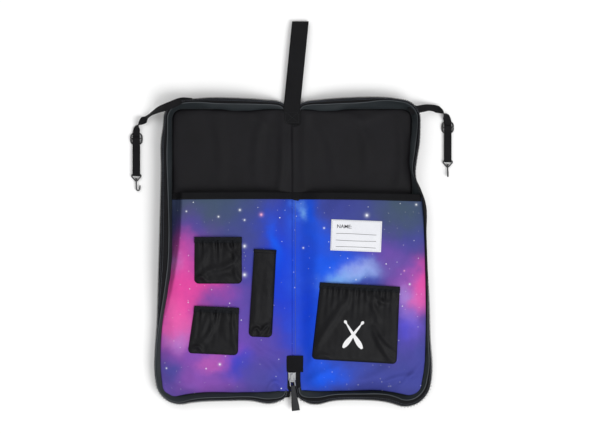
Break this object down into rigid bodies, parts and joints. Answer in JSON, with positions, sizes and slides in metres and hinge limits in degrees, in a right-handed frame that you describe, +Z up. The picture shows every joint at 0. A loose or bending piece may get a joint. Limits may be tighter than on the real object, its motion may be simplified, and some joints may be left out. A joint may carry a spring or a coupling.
{
  "type": "drum stick bag",
  "caption": "Zip-around drum stick bag laid open like a book, with padded halves, printed stick pockets, small pockets, a webbing handle and hanging straps with hooks.",
  "frame": {"origin": "centre of the spine's back face, on the surface that the open bag lies on", "axes": "+X to the right half, +Y to the carrying handle, +Z up out of the open bag"},
  "size_m": [0.4882, 0.5897, 0.0279],
  "materials": {
    "shell_fabric": "black coated nylon packcloth",
    "foam": "closed-cell foam",
    "lining_fabric": "black brushed lining",
    "zipper_tape": "black woven tape",
    "zipper_coil": "black nylon coil",
    "galaxy_fabric": "printed nebula cloth with a soft sheen",
    "binding_tape": "black grosgrain binding",
    "pocket_fabric": "black pocket cloth",
    "elastic": "black elastic",
    "label_cloth": "white coated label",
    "white_print": "white transfer print",
    "webbing": "black nylon webbing",
    "black_wire": "black coated wire",
    "nickel": "nickel plate",
    "pull_fabric": "charcoal folded pull tab"
  },
  "bodies": {
    "left_half": {"left_shell": "shell_fabric", "left_foam": "foam", "left_lining": "lining_fabric", "left_gusset": "shell_fabric", "left_zipper_tape": "zipper_tape", "left_zipper_coil": "zipper_coil", "left_stick_pocket": "galaxy_fabric", "left_pocket_binding": "binding_tape", "left_strap_tab": "webbing", "upper_pocket": "pocket_fabric", "upper_pocket_elastic": "elastic", "upper_pocket_hem": "binding_tape", "lower_pocket": "pocket_fabric", "lower_pocket_elastic": "elastic", "lower_pocket_hem": "binding_tape", "pen_pocket": "pocket_fabric", "pen_pocket_hem": "binding_tape"},
    "spine": {"spine_shell": "shell_fabric", "spine_foam": "foam", "spine_lining": "lining_fabric", "spine_pocket_strip": "galaxy_fabric", "spine_pocket_binding": "binding_tape", "spine_gusset_ends": "shell_fabric", "handle_patch": "lining_fabric", "handle_tails": "webbing", "zipper_end_tape": "zipper_tape", "zipper_end_coil": "zipper_coil", "zipper_end_patch": "binding_tape"},
    "right_half": {"right_shell": "shell_fabric", "right_foam": "foam", "right_lining": "lining_fabric", "right_gusset": "shell_fabric", "right_zipper_tape": "zipper_tape", "right_zipper_coil": "zipper_coil", "right_stick_pocket": "galaxy_fabric", "right_pocket_binding": "binding_tape", "right_strap_tab": "webbing", "large_pocket": "pocket_fabric", "large_pocket_elastic": "elastic", "large_pocket_hem": "binding_tape", "name_label": "label_cloth", "crossed_sticks_print": "white_print"},
    "handle": {"handle_loop": "webbing"},
    "zipper_slider": {"slider": "nickel"},
    "zipper_pull": {"pull_link": "nickel", "pull_tab": "pull_fabric"},
    "left_strap": {"left_strap": "webbing"},
    "left_strap_end": {"left_adjuster": "black_wire", "left_doubled_webbing": "webbing"},
    "left_hook_loop": {"left_triangle_loop": "black_wire"},
    "left_hook": {"left_hook": "black_wire"},
    "right_strap": {"right_strap": "webbing"},
    "right_strap_end": {"right_adjuster": "black_wire", "right_doubled_webbing": "webbing"},
    "right_hook_loop": {"right_triangle_loop": "black_wire"},
    "right_hook": {"right_hook": "black_wire"}
  },
  "joints": [
    {"name": "left_half_fold", "type": "hinge", "parent": "spine", "child": "left_half", "pos_m": [-0.0225, 0, 0.006], "axis": [0, 1, 0], "range_deg": [0, 90]},
    {"name": "right_half_fold", "type": "hinge", "parent": "spine", "child": "right_half", "pos_m": [0.0225, 0, 0.006], "axis": [0, -1, 0], "range_deg": [0, 90]},
    {"name": "handle_swing", "type": "hinge", "parent": "spine", "child": "handle", "pos_m": [0, 0.217, 0.0062], "axis": [-0.9951, 0.0993, 0], "range_deg": [-105, 90]},
    {"name": "slider_travel", "type": "slide", "parent": "spine", "child": "zipper_slider", "axis": [0, -1, 0], "range_m": [0, 0.012]},
    {"name": "pull_swing", "type": "hinge", "parent": "zipper_slider", "child": "zipper_pull", "pos_m": [0, -0.1939, 0.01045], "axis": [0.9925, 0.1219, 0], "range_deg": [-160, 0]},
    {"name": "left_strap_swing", "type": "hinge", "parent": "left_half", "child": "left_strap", "pos_m": [-0.211, 0.206, 0.0026], "axis": [0, 0, -1], "range_deg": [0, 150]},
    {"name": "left_strap_adjust", "type": "slide", "parent": "left_strap", "child": "left_strap_end", "axis": [0, -1, 0], "range_m": [0, 0.025]},
    {"name": "left_hook_loop_swing", "type": "hinge", "parent": "left_strap_end", "child": "left_hook_loop", "pos_m": [-0.2346, 0.11315, 0.00245], "axis": [-1, 0, 0], "range_deg": [-60, 60]},
    {"name": "left_hook_swivel", "type": "hinge", "parent": "left_hook_loop", "child": "left_hook", "pos_m": [-0.2346, 0.10465, 0.00245], "axis": [0, 1, 0], "continuous": true},
    {"name": "right_strap_swing", "type": "hinge", "parent": "right_half", "child": "right_strap", "pos_m": [0.211, 0.2135, 0.0026], "axis": [0, 0, 1], "range_deg": [0, 150]},
    {"name": "right_strap_adjust", "type": "slide", "parent": "right_strap", "child": "right_strap_end", "axis": [0, -1, 0], "range_m": [0, 0.025]},
    {"name": "right_hook_loop_swing", "type": "hinge", "parent": "right_strap_end", "child": "right_hook_loop", "pos_m": [0.2346, 0.13415, 0.00245], "axis": [-1, 0, 0], "range_deg": [-60, 60]},
    {"name": "right_hook_swivel", "type": "hinge", "parent": "right_hook_loop", "child": "right_hook", "pos_m": [0.2346, 0.12565, 0.00245], "axis": [0, 1, 0], "continuous": true}
  ],
  "couplings": [
    {"joint": "right_half_fold", "follows": "left_half_fold", "ratio": 1}
  ]
}
